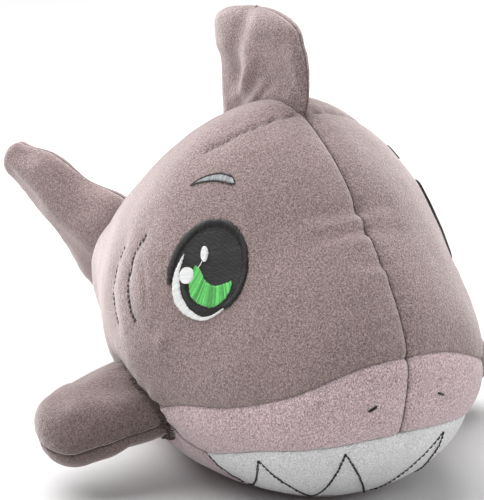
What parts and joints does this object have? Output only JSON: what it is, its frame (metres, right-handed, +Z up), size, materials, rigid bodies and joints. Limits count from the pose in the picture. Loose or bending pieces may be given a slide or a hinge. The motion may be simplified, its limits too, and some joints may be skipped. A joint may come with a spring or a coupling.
{
  "type": "plush shark",
  "caption": "Stuffed plush shark with embroidered eyes, teeth and gills, soft side fins that flap, a back fin that leans and a tail fin that swings.",
  "frame": {"origin": "on the surface that the belly rests on, under the middle of the whole toy's length and width", "axes": "+Z up, the nose points to -Y and the tail to +Y, +X is the shark's left side"},
  "size_m": [0.2454, 0.3455, 0.2117],
  "materials": {
    "taupe_velour": "short-pile velour, mauve taupe, pale sheen at grazing angles",
    "pink_velour": "short-pile velour, dusty pink",
    "white_velour": "short-pile velour, white",
    "black_thread": "satin embroidery thread, black",
    "white_thread": "satin embroidery thread, white",
    "green_thread": "satin embroidery thread, light green",
    "slate_thread": "embroidery thread, dark slate grey",
    "wadding": "loose polyester fibre filling",
    "label_tape": "woven satin tape, blank"
  },
  "bodies": {
    "torso": {"body_fill": "wadding", "side_panel_right": "taupe_velour", "side_panel_left": "taupe_velour", "muzzle_panel_right": "pink_velour", "muzzle_panel_left": "pink_velour", "mouth_panel": "white_velour", "belly_panel": "pink_velour", "teeth_stitches": "black_thread", "nostril_stitches": "black_thread", "eye_right_ground": "black_thread", "eye_right_white": "white_thread", "eye_right_iris": "green_thread", "eye_right_highlights": "white_thread", "eye_left_ground": "black_thread", "eye_left_white": "white_thread", "eye_left_iris": "green_thread", "eye_left_highlights": "white_thread", "brow_right": "slate_thread", "brow_left": "slate_thread", "gill_stitches_right": "slate_thread", "gill_stitches_left": "slate_thread", "root_stitches_right": "slate_thread", "root_stitches_left": "slate_thread", "closing_stitches": "slate_thread", "care_label": "label_tape"},
    "right_fin": {"side_fin_right_upper_panel": "taupe_velour", "side_fin_right_lower_panel": "taupe_velour", "side_fin_right_fill": "wadding"},
    "left_fin": {"side_fin_left_upper_panel": "taupe_velour", "side_fin_left_lower_panel": "taupe_velour", "side_fin_left_fill": "wadding"},
    "back_fin": {"back_fin_right_panel": "taupe_velour", "back_fin_left_panel": "taupe_velour", "back_fin_fill": "wadding"},
    "tail_fin": {"tail_fin_right_panel": "taupe_velour", "tail_fin_left_panel": "taupe_velour", "tail_fin_fill": "wadding"}
  },
  "joints": [
    {"name": "right_fin_flap", "type": "hinge", "parent": "torso", "child": "right_fin", "pos_m": [-0.089, -0.06173, 0.0345], "axis": [0, 1, 0], "range_deg": [-8, 45], "stiffness_Nm_per_rad": 0.12},
    {"name": "left_fin_flap", "type": "hinge", "parent": "torso", "child": "left_fin", "pos_m": [0.089, -0.06173, 0.0345], "axis": [0, -1, 0], "range_deg": [-8, 45], "stiffness_Nm_per_rad": 0.12},
    {"name": "back_fin_lean", "type": "hinge", "parent": "torso", "child": "back_fin", "pos_m": [0, -0.05473, 0.1722], "axis": [0, 0.9889, -0.1483], "range_deg": [-40, 40], "stiffness_Nm_per_rad": 0.12},
    {"name": "tail_swing", "type": "hinge", "parent": "torso", "child": "tail_fin", "pos_m": [0, 0.08627, 0.06], "axis": [0, 0, 1], "range_deg": [-45, 12], "stiffness_Nm_per_rad": 0.2}
  ]
}
